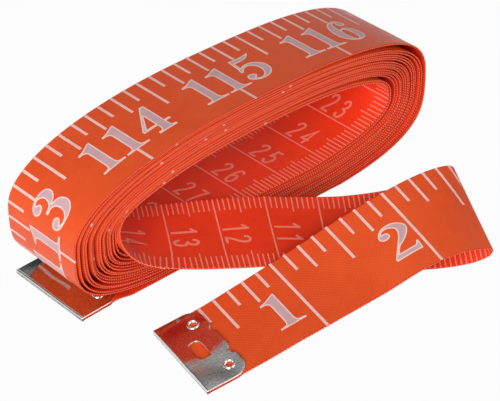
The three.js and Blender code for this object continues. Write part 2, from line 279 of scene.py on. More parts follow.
FOLD_TOP_S = float(line_s[FOLD_TOP_ROW * PER_SPAN])
COIL_S = float(line_s[len(free) - 1])
TAIL_S = float(np.interp(-TAIL_HINGE, -line[-len(tail):, 0], line_s[-len(tail):]))
TIP_S = float(line_s[-1])
print(f"fold top at {FOLD_TOP_S:.1f}, coil from {COIL_S:.1f}, tail from {TAIL_S:.1f}, "
      f"tip {TIP_S:.1f} mm")

# %% [markdown]
# Every piece asks for its points here. The turns of the coil also stand out a little sideways,
# each by its own amount, as they do on a ribbon that was wound by hand.

# %% Points of the ribbon
SWAY_FADE = 60.0
SWAY_WAVES = ((0.2, 37.0, 0.0), (0.12, 13.3, 1.0))
ROUNDS = 6


def along(table, r):
    """Rows of a table of vectors at r, between its own rows where need be."""
    return np.stack([np.interp(r, line_s, table[:, k]) for k in range(3)], axis=-1)


def sway(r):
    """How far the wound turns stand out sideways: the sum of amount * sin(r / length + start)
    over two slow waves, faded in after the free end and out before the tail."""
    fade = np.clip((r - COIL_S) / SWAY_FADE, 0, 1) * np.clip((TAIL_S - r) / SWAY_FADE, 0, 1)
    return fade * sum(amount * np.sin(r / length + start) for amount, length, start in SWAY_WAVES)


def on_ruling(r, v, h):
    """Point on the ruling that crosses the middle line at r, v along the ruling's own slant
    and h out of the inch side: middle(r) + v * ruling(r) + h * normal(r), and the sway."""
    r, v, h = np.broadcast_arrays(*(np.asarray(a, float) for a in (r, v, h)))
    middle, ruling, normal = (along(table, r) for table in (line, half_ruling, inch_side))
    point = middle + v[..., None] * ruling + h[..., None] * normal
    point[..., 1] += sway(r)
    return point


def on_tape(s, v, h):
    """Point s along the ribbon, v across it and h out of it. A slanted ruling meets the
    distance s at v where r = s - v * tan(slant(r)), which a few rounds of that sum find."""
    s, v, h = np.broadcast_arrays(*(np.asarray(a, float) for a in (s, v, h)))
    r = s
    for _ in range(ROUNDS):
        r = s - v * np.interp(r, line_s, np.tan(slant))
    return on_ruling(r, v, h)


print("tip, mm:", on_tape(0, 0, 0).round(2), " end:", on_tape(TIP_S, 0, 0).round(2))

# %% [markdown]
# ## Meshes from arrays
#
# Every piece is a grid of points. One axis of the grid runs round a closed outline and the
# other along the piece, and each end is closed with one face.

# %% Grid to mesh
def link(name, mesh, flat_faces=0):
    """Object of a mesh, shaded smooth apart from its last faces, such as the ends."""
    piece = in_scene(name, mesh)
    smooth = np.arange(len(mesh.polygons)) < len(mesh.polygons) - flat_faces
    mesh.polygons.foreach_set("use_smooth", smooth)
    return piece


def ring_faces(rings, around):
    """Quads of a tube of that many rings, as one array: point (i, j) with its neighbours
    (i, j + 1), (i + 1, j + 1) and (i + 1, j), where j closes on itself."""
    i, j = np.meshgrid(np.arange(rings - 1), np.arange(around), indexing="ij")
    k = (j + 1) % around
    return np.stack([i * around + j, i * around + k, (i + 1) * around + k, (i + 1) * around + j],
                    axis=-1).reshape(-1, 4)


def mesh_of(name, points, faces):
    """Mesh of an array of points in millimetres and a list of faces."""
    mesh = bpy.data.meshes.new(name)
    mesh.from_pydata((points.reshape(-1, 3) * MM).tolist(), [], faces)
    mesh.update()
    return mesh


def tube(name, points):
    """Mesh of a (rings, around, 3) array of points, with both ends closed. Seen from its first
    end, a ring's points run clockwise."""
    rings, around = points.shape[:2]
    last = (rings - 1) * around
    faces = ring_faces(rings, around)[:, ::-1].tolist()
    faces += [list(range(around)), list(range(last, last + around))[::-1]]
    return mesh_of(name, points, faces)


def beam_faces(beams, rings):
    """Faces of many closed beams, each of so many rings of four points, which follow each
    other in one array: the sides of one beam and its two ends, then the same moved on."""
    last = 4 * (rings - 1)
    ends = [[3, 2, 1, 0], [last, last + 1, last + 2, last + 3]]
    one = np.vstack([ring_faces(rings, 4), ends])
    return (one[None] + 4 * rings * np.arange(beams)[:, None, None]).reshape(-1, 4)


def face_out(mesh):
    """Turns every face of closed shells outwards."""
    work = bmesh.new()
    work.from_mesh(mesh)
    bmesh.ops.recalc_face_normals(work, faces=work.faces)
    work.to_mesh(mesh)
    work.free()


def point_values(mesh, name, values):
    """Gives every vertex a number that a material can read."""
    mesh.attributes.new(name, "FLOAT", "POINT").data.foreach_set("value", values)


# %% [markdown]
# ## The ribbon itself
#
# The ribbon is built as three pieces that meet edge to edge: they part at the top of the fold,
# where the lead meets the coil, and beside the end clip, where the tail begins. A thin closed
# band with rounded edges is used, not a plane with Solidify, so that both sides and the cut
# edges can have their own look.

# %% The cross-section of the ribbon
EDGE_ROUND = 0.15
FLAT_SHARES = np.array([-1, -0.97, -0.5, 0, 0.5, 0.97, 1])


def cross_section():
    """Outline of the ribbon as (v, h) pairs: two flats and two rounded edges, where a point
    of the edge is (corner + round * sin, corner + round * cos). Seen from the first tip it
    runs clockwise."""
    flat = FLAT_SHARES * (WIDTH / 2 - EDGE_ROUND)
    turn = np.radians([30, 60, 90])
    v = WIDTH / 2 - EDGE_ROUND + EDGE_ROUND * np.sin(turn)
    h = THICK / 2 - EDGE_ROUND + EDGE_ROUND * np.cos(turn)
    far = np.r_[np.c_[v, h], np.c_[v[::-1], -h[::-1]][1:]]
    top = np.c_[flat, 0 * flat + THICK / 2]
    return np.vstack([top, far, -top, -far])


SECTION = cross_section()
INCH, CENTIMETRE, EDGE = 0, 1, 2
AROUND = len(SECTION)
FACE_KIND = np.full(AROUND, EDGE)
FACE_KIND[:len(FLAT_SHARES) - 1] = INCH
FACE_KIND[AROUND // 2:AROUND // 2 + len(FLAT_SHARES) - 1] = CENTIMETRE
print("points round the ribbon:", AROUND)

# %% [markdown]
# Where the ribbon bends tightly it needs many rings, and along the flats few. The rings are
# placed evenly along a sum of two things: the distance, and the angle that the ribbon turns.

# %% The three bands of ribbon
STEP, FREE_STEP, STEP_ANGLE = 1.2, 0.6, math.radians(5)
INTO_CLIP = 0.15
NORMAL_REACH = 0.3


def ring_places(r_from, r_to, step=STEP):
    """Places from r_from to r_to, evenly spaced in distance / step + angle / STEP_ANGLE."""
    heading = np.gradient(line, line_s, axis=0)
    turned = np.r_[0, np.linalg.norm(np.diff(heading, axis=0), axis=1)]
    need = line_s / step + np.cumsum(turned) / STEP_ANGLE
    first, last = np.interp([r_from, r_to], line_s, need)
    return np.interp(np.linspace(first, last, int(last - first) + 2), need, line_s)


def ribbon_map(mesh, s, across_ribbon):
    """UV map in millimetres: how far along the ribbon and how far round it."""
    flat_map = np.stack([s, across_ribbon], axis=-1).reshape(-1, 2)
    corners = np.empty(len(mesh.loops), int)
    mesh.loops.foreach_get("vertex_index", corners)
    mesh.uv_layers.new(name="ribbon").data.foreach_set("uv", flat_map[corners].ravel())


def band_normals(r):
    """Outward normals of the band: the step round its section crossed with the step along the
    ribbon. Both bands that meet at a ruling get the same ones, so their shading runs on."""
    rings = [on_ruling(r[:, None] + move, SECTION[:, 0], SECTION[:, 1])
             for move in (-NORMAL_REACH, 0, NORMAL_REACH)]
    round_ribbon = np.roll(rings[1], -1, axis=1) - np.roll(rings[1], 1, axis=1)
    normals = np.cross(round_ribbon, rings[2] - rings[0])
    outside = rings[1] - rings[1].mean(axis=1, keepdims=True)
    normals *= np.sign((normals * outside).sum())
    return normals / np.linalg.norm(normals, axis=-1, keepdims=True)


def band(name, r_from, r_to, step=STEP):
    """Band of ribbon between two rulings."""
    r = ring_places(r_from, r_to, step)
    mesh = tube(name, on_ruling(r[:, None], SECTION[:, 0], SECTION[:, 1]))
    s = r[:, None] + SECTION[:, 0] * np.interp(r, line_s, np.tan(slant))[:, None]
    run = np.cumsum(np.r_[0, np.linalg.norm(np.diff(SECTION, axis=0), axis=1)])
    ribbon_map(mesh, s, run + 0 * s)
    point_values(mesh, "towards_rim", np.tile(np.abs(SECTION[:, 1]) / (THICK / 2), len(r)))
    kinds = np.full(len(mesh.polygons), EDGE)
    kinds[:-2] = np.tile(FACE_KIND, len(r) - 1)
    mesh.polygons.foreach_set("material_index", kinds)
    piece = link(name, mesh, flat_faces=2)
    mesh.normals_split_custom_set_from_vertices(band_normals(r).reshape(-1, 3).tolist())
    return piece


coil_band = band("coil_ribbon", FOLD_TOP_S, TAIL_S)
lead_band = band("lead_ribbon", INTO_CLIP, FOLD_TOP_S, FREE_STEP)
tail_band = band("tail_ribbon", TAIL_S, TIP_S - INTO_CLIP, FREE_STEP)
for piece in (coil_band, lead_band, tail_band):
    print(piece.name, len(piece.data.polygons), "faces")

# %% [markdown]
# ## The clips
#
# Each clip is one strip of thin plated steel, folded over the end of the ribbon. Its flat
# shape has three shallow lobes at each end, and one half of it has a slot and two holes for
# the eyelets. A filled curve is the quickest way to a plate with holes and rounded rims. It is
# made flat, cut into small faces, and then wrapped round the ribbon's end.

# %% Outlines of the flat plate
CLIP_DEPTH, CLIP_HALF = 9.2, WIDTH / 2 + 0.1
CLIP_SHEET, CLIP_MIDDLE, CLIP_RIM = 0.22, 0.36, 0.08
CORNER, LOBE_NOTCH, NOTCH_AT, NOTCH_WIDTH = 3.1, 0.75, 3.35, 0.75
SLOT_S, SLOT_HALF_LENGTH, SLOT_HALF_WIDTH, SLOT_POWER = 4.2, 2.5, 1.25, 2.6
EYELET_S, EYELET_V, EYELET_HOLE = 6.6, 6.6, 1.05
EDGE_POINTS, SLOT_POINTS, HOLE_POINTS, EYELET_POINTS = 90, 40, 24, 36
BEND = math.pi * CLIP_MIDDLE / 2
BEND_CUTS, CLIP_CUT = np.linspace(-BEND, BEND, 13), 0.6
CROSS_CUTS = 0.8 * np.arange(-12, 13)


def lobed_edge(v):
    """How far the plate's free edge reaches at v: the depth, less a narrow notch between the
    lobes, less the round corner's circle."""
    notch = LOBE_NOTCH * np.exp(-np.abs((np.abs(v) - NOTCH_AT) / NOTCH_WIDTH) ** 1.5)
    into = np.clip(np.abs(v) - (CLIP_HALF - CORNER), 0, CORNER)
    return CLIP_DEPTH - notch - (CORNER - np.sqrt(CORNER**2 - into**2))


def plate_outline():
    """Both free edges, with points closer together where the corners turn."""
    v = CLIP_HALF * np.sin(np.linspace(-np.pi / 2, np.pi / 2, EDGE_POINTS))
    top = np.c_[lobed_edge(v) + BEND, v]
    return np.vstack([top, -top])


def oval(centre_s, centre_v, half_s, half_v, count, power=2.0):
    """Superellipse in the plate: (half_s * cos^(2/power), half_v * sin^(2/power))."""
    angle = np.linspace(0, 2 * np.pi, count, endpoint=False)
    c, s = np.cos(angle), np.sin(angle)
    x = half_s * np.sign(c) * np.abs(c) ** (2 / power)
    y = half_v * np.sign(s) * np.abs(s) ** (2 / power)
    return np.c_[centre_s + BEND + x, centre_v + y]


def flat_solid(name, outlines, half_depth, rim, cuts_x, cuts_y):
    """Mesh of a closed solid of 2-D outlines, holes included, with its rim rounded and its
    faces cut along the given lines."""
    curve = bpy.data.curves.new(name, "CURVE")
    curve.dimensions, curve.fill_mode = "2D", "BOTH"
    curve.extrude, curve.bevel_depth, curve.bevel_resolution = half_depth - rim, rim, 1
    curve.offset = -rim
    for outline in outlines:
        spline = curve.splines.new("POLY")
        spline.points.add(len(outline) - 1)
        flat = np.c_[outline, np.zeros(len(outline)), np.ones(len(outline))]
        spline.points.foreach_set("co", flat.ravel())
        spline.use_cyclic_u = True
    shape = in_scene(name, curve)
    solved = bpy.context.evaluated_depsgraph_get()
    mesh = bpy.data.meshes.new_from_object(shape.evaluated_get(solved))
    bpy.data.objects.remove(shape)
    bpy.data.curves.remove(curve)
    work = bmesh.new()
    work.from_mesh(mesh)
    bmesh.ops.remove_doubles(work, verts=work.verts, dist=1e-4)
    for normal, cuts in ((Vector((1, 0, 0)), cuts_x), (Vector((0, 1, 0)), cuts_y)):
        for place in cuts:
            parts = work.verts[:] + work.edges[:] + work.faces[:]
            bmesh.ops.bisect_plane(work, geom=parts, plane_co=normal * place, plane_no=normal,
                                   dist=1e-5)
    bmesh.ops.triangulate(work, faces=work.faces)
    bmesh.ops.recalc_face_normals(work, faces=work.faces)
    work.to_mesh(mesh)
    work.free()
    return mesh


def set_points(mesh, points):
    """Moves the vertices to an array of points in millimetres."""
    mesh.vertices.foreach_set("co", (points * MM).ravel())
    mesh.update()


def points_of(mesh):
    """Array of the vertices as they are."""
    points = np.empty(len(mesh.vertices) * 3)
    mesh.vertices.foreach_get("co", points)
    return points.reshape(-1, 3)


# %% [markdown]
# The flat plate is bent by its own formula. Near the middle of the strip a point goes round a
# half circle in front of the ribbon's tip, and past it the strip runs straight back along
# either side of the ribbon.

# %% Bend a plate round a tip
def wrapped(flat):
    """(s, v, h) of flat plate points (u, v, n). On the bend the angle is u / radius:
    s = -(radius + n) * cos, h = (radius + n) * sin. Past it, s = |u| - bend."""
    u, v, n = flat.T
    angle = np.clip(u / CLIP_MIDDLE, -np.pi / 2, np.pi / 2)
    s = np.abs(u).clip(BEND, None) - BEND - (CLIP_MIDDLE + n) * np.cos(angle)
    h = (CLIP_MIDDLE + n) * np.sin(angle)
    return s, v, h


def clip(name, from_end):
    """A clip on the first tip, or on the last one where from_end is true. Its slot and the
    eyelets' holes are in the sheet on the inch side, and the other sheet has none."""
    slot = oval(SLOT_S, 0, SLOT_HALF_WIDTH, SLOT_HALF_LENGTH, SLOT_POINTS, SLOT_POWER)
    holes = [oval(EYELET_S, v, EYELET_HOLE, EYELET_HOLE, HOLE_POINTS)
             for v in (-EYELET_V, EYELET_V)]
    flat_cuts = np.arange(BEND + CLIP_CUT, BEND + CLIP_DEPTH, CLIP_CUT)
    mesh = flat_solid(name, [plate_outline(), slot, *holes], CLIP_SHEET / 2, CLIP_RIM,
                      np.r_[-flat_cuts, BEND_CUTS, flat_cuts], CROSS_CUTS)
    s, v, h = wrapped(points_of(mesh))
    set_points(mesh, on_tape(TIP_S - s if from_end else s, v, h))
    face_out(mesh)
    return link(name, mesh)


start_clip = clip("start_clip_plate", False)
end_clip = clip("end_clip_plate", True)
for piece in (start_clip, end_clip):
    print(piece.name, len(piece.data.polygons), "faces")

# %% [markdown]
# ## The eyelets
#
# An eyelet is a short tube pressed through clip and ribbon, and rolled over at its rims.
# Its profile is turned round its own axis, like work on a lathe.

# %% Turned eyelets
PLATE_TOP = CLIP_MIDDLE + CLIP_SHEET / 2
ROLLED_RIM = np.array([
    (1.24, 0.0), (1.22, 0.11), (1.13, 0.19), (1.0, 0.22), (0.86, 0.16), (0.75, 0.04),
    (0.68, -0.12), (0.66, -0.3),
])
TUBE_OUTSIDE = np.array([(1.0, -PLATE_TOP + 0.02), (0.95, 0.0), (1.0, PLATE_TOP - 0.02)])


def eyelet(name, s_at, v_at):
    """Profile (radius, height) turned round the eyelet's axis: s = s_at + radius * cos,
    v = v_at + radius * sin, h = height."""
    upper = ROLLED_RIM + (0, PLATE_TOP)
    profile = np.vstack([upper, upper[::-1] * (1, -1), TUBE_OUTSIDE])
    angle = np.linspace(0, 2 * np.pi, EYELET_POINTS, endpoint=False)
    radius, height = profile[:, 0], profile[:, 1]
    s = s_at + radius[None] * np.cos(angle)[:, None]
    v = v_at + radius[None] * np.sin(angle)[:, None]
    points = on_tape(s, v, height[None] + 0 * s)
    rings, around = points.shape[:2]
    faces = ring_faces(rings + 1, around) % (rings * around)
    mesh = mesh_of(name, points, faces.tolist())
    face_out(mesh)
    return link(name, mesh)


start_near = eyelet("start_near_ring", EYELET_S, -EYELET_V)
start_far = eyelet("start_far_ring", EYELET_S, EYELET_V)
end_near = eyelet("end_near_ring", TIP_S - EYELET_S, -EYELET_V)
end_far = eyelet("end_far_ring", TIP_S - EYELET_S, EYELET_V)
print("eyelets:", [piece.name for piece in (start_near, start_far, end_near, end_far)])


# %% [markdown]
# ## The printed scales
#
# One side is marked in inches and the other in centimetres. The print could be painted by a
# material, but then it would be lost or blurred on a ribbon of 3 m. So each mark is a very
# thin solid that follows the ribbon and stands 0.02 mm proud of it.
# The print is made where it can be seen: on the free end, on the outermost turn and, for the
# centimetres, on the innermost turn.

# %% Where a printed reading lies along the ribbon
INK_BELOW, INK_ABOVE = 0.04, 0.02
BAR_S = np.array([-1, 1, 1, -1])
BAR_H = np.array([-INK_BELOW, -INK_BELOW, INK_ABOVE, INK_ABOVE])
INCH_MM = 25.4
CM_AHEAD = 4.6
CURL_MORE = 4.5
TIP_READING = 3074.7
READ_AT = (140, 150, 400, 2700)
MORE = (0, CURL_MORE, CURL_MORE, TIP_S - TIP_READING)


def place_of(reading, ahead=0.0):
    """Distance along the ribbon of a reading in millimetres. The inch side agrees with it on
    the free end, and the centimetre side is a little ahead. The last turn is counted back from
    the tip of the tail, and the hidden stretches between make up for the rest."""
    return reading - ahead + np.interp(reading, READ_AT, MORE)


def printed(mesh, s, v):
    """Piece of print from a mesh of closed shells, mapped like the ribbon."""
    ribbon_map(mesh, s, v)
    face_out(mesh)
    return link(mesh.name, mesh, flat_faces=len(mesh.polygons))


def bars(name, s, v_from, v_to, width, side, spans=6):
    """Printed bars across the ribbon, all in one array: bar, place along the bar, corner.
    A corner is s +- width / 2 and h from below the surface to just above it."""
    s, v_from, v_to = np.broadcast_arrays(s, v_from, v_to)
    v = mix(v_from[:, None], v_to[:, None], np.linspace(0, 1, spans + 1))[..., None]
    corner_s = s[:, None, None] + BAR_S * width / 2 + 0 * v
    corner_v = v + 0 * corner_s
    points = on_tape(corner_s, corner_v, side * (THICK / 2 + BAR_H))
    mesh = mesh_of(name, points, beam_faces(len(s), spans + 1).tolist())
    return printed(mesh, corner_s, corner_v)


# %% [markdown]
# The inch side has a mark every eighth of an inch, all from the far edge. A whole inch is a
# line right across, and each shorter mark has its own length. A numeral of three digits
# stands in the middle of its line and hides that part of it.

# %% Inch marks
EIGHTH, QUARTER, HALF = 4.8, 6.7, 9.6
INCH_STROKE = 0.56
PRINT_EDGE = 9.95
NUMBER_TOP, NUMBER_FOOT, INTO_NUMBER = 3.4, -5.7, 0.2
THREE_DIGITS = 100


def inch_marks(name, first, last):
    """Marks from one count of eighths to another, whose length follows from the largest
    power of two that divides the count. A line with three digits is made in two parts."""
    count = np.arange(first, last + 1)
    length = np.select([count % 8 == 0, count % 4 == 0, count % 2 == 0],
                       [2 * PRINT_EDGE, HALF, QUARTER], EIGHTH)
    parted = (count % 8 == 0) & (count >= THREE_DIGITS * 8)
    length[parted] = PRINT_EDGE - NUMBER_TOP
    lower = np.full(parted.sum(), NUMBER_FOOT + INTO_NUMBER)
    s = place_of(count * INCH_MM / 8)
    v_from = np.r_[np.full(len(count), PRINT_EDGE), lower]
    v_to = np.r_[PRINT_EDGE - length, 0 * lower - PRINT_EDGE]
    return bars(name, np.r_[s, s[parted]], v_from, v_to, INCH_STROKE, 1)


fold_count = int(FOLD_TOP_S / INCH_MM * 8)
lead_inches = inch_marks("lead_inch_marks", 3, fold_count)
coil_inches = inch_marks("feed_inch_marks", fold_count + 1, 6 * 8)
last_turn_inches = inch_marks("last_turn_inch_marks", 112 * 8 + 2, 120 * 8)
print("inch marks:", len(lead_inches.data.polygons), len(coil_inches.data.polygons),
      len(last_turn_inches.data.polygons), "faces")

# %% [markdown]
# ## The inch numerals
#
# They are drawn in the thick and thin strokes of old printing types. Each one is an outline
# of a few points in millimetres. C is a corner, and through S the outline runs in a smooth
# curve. The numerals are filled, cut into small faces and laid on the ribbon.

# %% Outlines of the numerals
C, S = True, False
NUMERAL_HEIGHT = 9.1
NUMERALS = {
    "1": [[
        (0, 0, C), (5.3, 0, C), (5.3, 0.42, C), (4.4, 0.5, S), (3.8, 0.75, S), (3.56, 1.5, C),
        (3.56, 9.0, C), (3.1, 8.95, S), (2.2, 8.55, S), (1.2, 8.1, S), (0, 7.85, C),
        (0, 7.4, C), (0.9, 7.35, S), (1.45, 7.0, S), (1.6, 6.4, C), (1.6, 1.5, C),
        (1.4, 0.75, S), (0.9, 0.5, S), (0, 0.42, C),
    ]],
    "2": [[
        (0, 0, C), (5.87, 0, C), (6.1, 2.2, C), (5.65, 2.1, C), (5.3, 1.6, S), (4.9, 1.32, S),
        (4.3, 1.3, C), (1.45, 1.3, C), (2.0, 2.15, S), (2.7, 2.85, S), (3.9, 3.5, S),
        (4.9, 4.25, S), (5.8, 5.2, S), (6.25, 6.2, S), (6.0, 7.1, S), (5.2, 7.9, S),
        (4.15, 8.4, S), (3.1, 8.5, S), (2.0, 8.35, S), (1.0, 7.75, S), (0.4, 7.0, S),
        (0.22, 6.35, S), (0.55, 5.75, S), (1.3, 5.45, S), (2.1, 5.65, S), (2.5, 6.2, S),
        (2.3, 6.85, S), (1.7, 7.1, S), (1.2, 7.05, C), (1.4, 7.45, S), (2.1, 7.75, S),
        (2.85, 7.72, S), (3.65, 7.3, S), (4.1, 6.6, S), (3.95, 5.7, S), (3.4, 4.75, S),
        (2.35, 3.45, S), (1.5, 2.4, S), (0.6, 1.3, S), (0, 0.5, C),
    ]],
    "3": [[
        (0.2, 7.4, S), (0.45, 8.15, S), (1.25, 8.75, S), (2.4, 9.0, S), (3.9, 8.9, S),
        (5.2, 8.45, S), (5.9, 7.5, S), (5.8, 6.3, S), (5.0, 5.4, S), (4.0, 5.0, C),
        (4.9, 4.75, S), (5.85, 4.1, S), (6.35, 2.95, S), (6.2, 1.65, S), (5.3, 0.6, S),
        (4.0, 0.08, S), (2.5, 0, S), (1.1, 0.3, S), (0.3, 1.1, S), (0.15, 1.95, S),
        (0.65, 2.6, S), (1.5, 2.75, S), (2.3, 2.45, S), (2.55, 1.85, S), (2.2, 1.25, S),
        (1.5, 1.0, C), (1.9, 0.62, S), (2.7, 0.5, S), (3.45, 0.85, S), (4.0, 1.65, S),
        (4.15, 2.8, S), (3.85, 3.8, S), (3.2, 4.4, S), (2.4, 4.45, S), (1.8, 4.45, C),
        (1.8, 5.15, C), (2.6, 5.15, S), (3.3, 5.35, S), (3.75, 6.0, S), (3.95, 7.0, S),
        (3.6, 7.9, S), (2.85, 8.4, S), (2.2, 8.35, S), (1.85, 8.05, C), (2.35, 7.75, S),
        (2.6, 7.2, S), (2.35, 6.6, S), (1.6, 6.35, S), (0.75, 6.6, S),
    ]],
    "4": [[
        (4.2, 9.0, C), (5.2, 9.0, C), (5.2, 2.8, C), (6.4, 2.8, C), (6.4, 2.25, C),
        (5.2, 2.25, C), (5.2, 1.4, C), (5.35, 0.75, S), (6.2, 0.5, C), (6.2, 0, C),
        (2.0, 0, C), (2.0, 0.5, C), (2.95, 0.75, S), (3.2, 1.4, C), (3.2, 2.25, C),
        (0, 2.25, C), (0, 2.85, C),
    ], [(1.05, 2.8, C), (3.2, 2.8, C), (3.2, 6.4, C)]],
    "5": [[
        (1.1, 8.9, C), (2.8, 8.75, S), (4.6, 8.8, S), (6.3, 9.15, C), (5.6, 8.35, S),
        (4.7, 7.8, S), (3.6, 7.5, S), (2.5, 7.45, S), (1.65, 7.55, C), (1.55, 6.4, C),
        (1.45, 5.55, C), (2.1, 5.9, S), (3.3, 6.1, S), (4.5, 5.85, S), (5.6, 5.1, S),
        (6.25, 4.0, S), (6.3, 2.7, S), (5.8, 1.4, S), (4.7, 0.4, S), (3.3, 0, S),
        (1.8, 0.08, S), (0.7, 0.7, S), (0.1, 1.5, S), (0.25, 2.25, S), (0.95, 2.65, S),
        (1.75, 2.55, S), (2.25, 2.0, S), (2.0, 1.4, S), (1.45, 1.05, C), (1.75, 0.75, S),
        (2.5, 0.55, S), (3.3, 0.85, S), (4.0, 1.65, S), (4.4, 2.75, S), (4.35, 4.0, S),
        (3.85, 4.85, S), (3.0, 5.25, S), (2.05, 5.1, S), (1.35, 4.5, S), (0.95, 4.0, C),
        (0.45, 4.1, C), (0.5, 4.7, S), (0.75, 5.4, C),
    ]],
    "6": [[
        (5.5, 8.1, S), (4.8, 8.8, S), (3.7, 9.0, S), (2.3, 8.5, S), (1.1, 7.3, S),
        (0.3, 5.5, S), (0.1, 3.7, S), (0.5, 1.8, S), (1.6, 0.5, S), (3.1, 0, S),
        (4.7, 0.3, S), (5.9, 1.4, S), (6.2, 2.9, S), (5.8, 4.4, S), (4.8, 5.35, S),
        (3.6, 5.55, S), (2.45, 5.1, C), (2.5, 6.2, S), (2.9, 7.5, S), (3.5, 8.3, S),
        (4.0, 8.35, S), (3.9, 7.8, S), (3.9, 7.2, S), (4.3, 6.7, S), (5.0, 6.55, S),
        (5.6, 6.9, S), (5.8, 7.5, S),
    ], [
        (2.25, 2.6, S), (2.35, 4.0, S), (2.85, 4.95, S), (3.5, 5.05, S), (4.0, 4.4, S),
        (4.2, 2.9, S), (4.05, 1.4, S), (3.5, 0.55, S), (2.9, 0.55, S), (2.45, 1.3, S),
    ]],
    "7": [[
        (0.2, 9.0, C), (6.2, 9.0, C), (6.2, 8.3, C), (5.1, 6.8, S), (4.3, 4.8, S),
        (3.9, 2.4, S), (3.85, 0, C), (1.7, 0, C), (1.95, 2.4, S), (2.8, 4.7, S),
        (4.1, 6.5, S), (4.9, 7.4, C), (1.7, 7.4, C), (1.0, 7.1, S), (0.65, 6.4, C),
        (0.1, 6.4, C),
    ]],
    "8": [[
        (3.15, 9.0, S), (4.7, 8.6, S), (5.45, 7.2, S), (5.15, 5.9, S), (4.3, 4.95, C),
        (5.6, 4.0, S), (6.2, 2.5, S), (5.6, 0.85, S), (4.4, 0.15, S), (3.1, 0, S),
        (1.8, 0.15, S), (0.6, 0.9, S), (0.15, 2.4, S), (0.75, 3.9, S), (2.0, 4.75, C),
        (1.1, 5.8, S), (0.85, 7.1, S), (1.55, 8.55, S),
    ], [
        (3.15, 8.5, S), (3.85, 7.9, S), (4.05, 6.8, S), (3.6, 5.6, S), (2.9, 6.0, S),
        (2.4, 7.0, S), (2.5, 8.0, S),
    ], [
        (3.1, 0.5, S), (2.35, 1.0, S), (1.95, 2.4, S), (2.5, 3.9, S), (3.3, 4.1, S),
        (4.1, 3.2, S), (4.3, 1.9, S), (3.9, 0.85, S),
    ]],
    "0": [[
        (3.15, 9.0, S), (4.8, 8.5, S), (5.9, 6.8, S), (6.2, 4.5, S), (5.9, 2.2, S),
        (4.8, 0.5, S), (3.15, 0, S), (1.5, 0.5, S), (0.4, 2.2, S), (0.1, 4.5, S),
        (0.4, 6.8, S), (1.5, 8.5, S),
    ], [
        (3.15, 8.5, S), (3.8, 7.8, S), (4.2, 6.3, S), (4.3, 4.5, S), (4.2, 2.7, S),
        (3.8, 1.2, S), (3.15, 0.5, S), (2.5, 1.2, S), (2.1, 2.7, S), (2.0, 4.5, S),
        (2.1, 6.3, S), (2.5, 7.8, S),
    ]],
}


def half_turned(paths, width, height):
    """Paths turned by 180 degrees inside their box, which makes a 9 of a 6."""
    return [[(width - x, height - y, corner) for x, y, corner in path] for path in paths]


NUMERALS["9"] = half_turned(NUMERALS["6"], 6.3, 9.0)


def smooth_loop(points, per_span=6):
    """Closed outline: straight between two corners, and elsewhere a Catmull-Rom curve that
    leaves or meets a corner towards its neighbour."""
    count = len(points)
    places = np.array([p[:2] for p in points], float)
    corner = [p[2] for p in points]
    out = []
    for i in range(count):
        a, b, c, d = (places[(i + k) % count] for k in (-1, 0, 1, 2))
        if corner[i] and corner[(i + 1) % count]:
            out.append(b[None])
            continue
        a = 2 * b - c if corner[i] else a
        d = 2 * c - b if corner[(i + 1) % count] else d
        t = (np.arange(per_span) / per_span)[:, None]
        out.append(0.5 * (2 * b + (c - a) * t + (2 * a - 5 * b + 4 * c - d) * t**2
                          + (3 * b - a - 3 * c + d) * t**3))
    return np.vstack(out)


print("numerals drawn:", " ".join(sorted(NUMERALS)))

# %% [markdown]
# The ink is lighter along each numeral's rim. So every vertex carries its distance from the
# rim as an attribute, which the material of the ink reads.

# %% Numerals laid on the ribbon
CUT, NUMERAL_OVER = 0.45, 0.003


def rim_distance(points, outlines):
    """Least distance from each point to the outlines' segments: the point is projected on a
    segment, held between its ends, and the distance to that spot is measured."""
    best = np.full(len(points), np.inf)
    for loop in outlines:
        run = np.roll(loop, -1, axis=0) - loop
        offset = points[:, None] - loop
        share = np.clip((offset * run).sum(-1) / (run**2).sum(-1), 0, 1)
        gap = np.linalg.norm(offset - share[..., None] * run, axis=-1).min(axis=1)
        best = np.minimum(best, gap)
    return best


def numeral(digit):
    """Flat solid of one digit, with its points and their distances from the rim. Its depth
    only tells the upper face from the lower one."""
    outlines = [smooth_loop(loop) for loop in NUMERALS[digit]]
    cuts = np.arange(CUT, NUMERAL_HEIGHT, CUT)
    mesh = flat_solid("digit_" + digit, outlines, 1, 0, cuts, cuts)
    points = points_of(mesh)
    return mesh, points, rim_distance(points[:, :2], outlines)


DIGITS = {digit: numeral(digit) for digit in NUMERALS}


def number(name, text, s_from, starts):
    """A printed number: digits side by side, as one mesh. Digit x is the distance along the
    ribbon and digit y the distance across it."""
    work = bmesh.new()
    places, rims = [], []
    for digit, start in zip(text, starts):
        mesh, points, rim = DIGITS[digit]
        work.from_mesh(mesh)
        h = THICK / 2 + np.where(points[:, 2] > 0, INK_ABOVE + NUMERAL_OVER, -INK_BELOW)
        places.append(np.c_[s_from + start + points[:, 0], NUMBER_FOOT + points[:, 1], h])
        rims.append(rim)
    joined = bpy.data.meshes.new(name)
    work.to_mesh(joined)
    work.free()
    s, v, h = np.vstack(places).T
    set_points(joined, on_tape(s, v, h))
    point_values(joined, "rim_distance", np.concatenate(rims))
    return printed(joined, s, v)


STARTS = {1: (-7.1,), 3: (-8.0, -2.2, 3.6)}
numbers = {}
for inch in (*range(1, 6), *range(113, 121)):
    text = str(inch)
    numbers[inch] = number("inch_" + text, text, place_of(inch * INCH_MM), STARTS[len(text)])
print("faces in inch_115:", len(numbers[115].data.polygons))

# %% [markdown]
# ## The centimetre side
#
# It has fine lines: one right across every centimetre, and a short one from both edges every
# millimetre. Its numbers are plain strokes of one width, turned to read along the ribbon.

